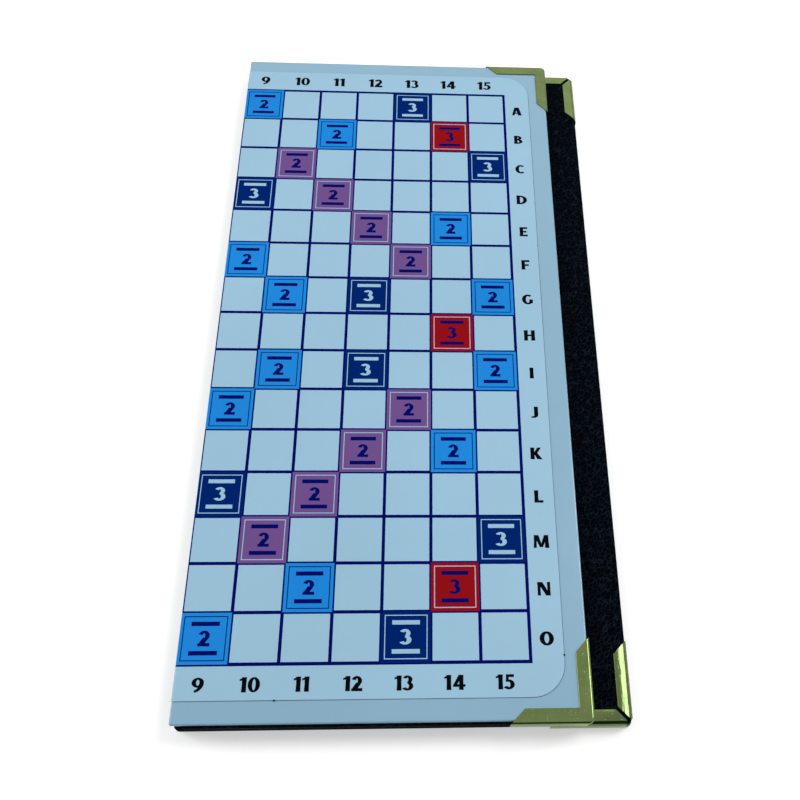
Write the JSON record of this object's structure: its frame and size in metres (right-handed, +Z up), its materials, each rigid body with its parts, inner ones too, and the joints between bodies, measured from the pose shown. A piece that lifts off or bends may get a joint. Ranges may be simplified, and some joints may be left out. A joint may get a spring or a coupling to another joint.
{
  "type": "folding travel game board",
  "caption": "Magnetic letter game board that folds in half, with a leatherette hinge and back, pale face plates and folded metal corner protectors, here folded back to back.",
  "frame": {"origin": "on the ground at the centre of the folded board's box", "axes": "+X runs across the board away from the fold, +Y runs along the fold towards the first row, +Z is up, out of the upper panel's playing side"},
  "size_m": [0.1356, 0.263, 0.0106],
  "materials": {
    "core": "matte",
    "steel": "satin",
    "leatherette": "grained",
    "plate": "gloss",
    "print": "gloss",
    "brass": "polished"
  },
  "bodies": {
    "lower_panel": {"lower_core_board": "core", "lower_steel_sheet": "steel", "lower_leather_cover": "leatherette", "lower_face_plate": "plate", "lower_printed_sheet": "print", "lower_hinge_leaf": "leatherette", "lower_corner_near": "brass", "lower_corner_far": "brass"},
    "upper_panel": {"upper_core_board": "core", "upper_steel_sheet": "steel", "upper_leather_cover": "leatherette", "upper_face_plate": "plate", "upper_printed_sheet": "print", "upper_hinge_leaf": "leatherette", "upper_corner_near": "brass", "upper_corner_far": "brass"}
  },
  "joints": [
    {"name": "fold_hinge", "type": "hinge", "parent": "lower_panel", "child": "upper_panel", "pos_m": [-0.06785, 0, 0.00532], "axis": [0, -1, 0], "range_deg": [0, 180]}
  ]
}
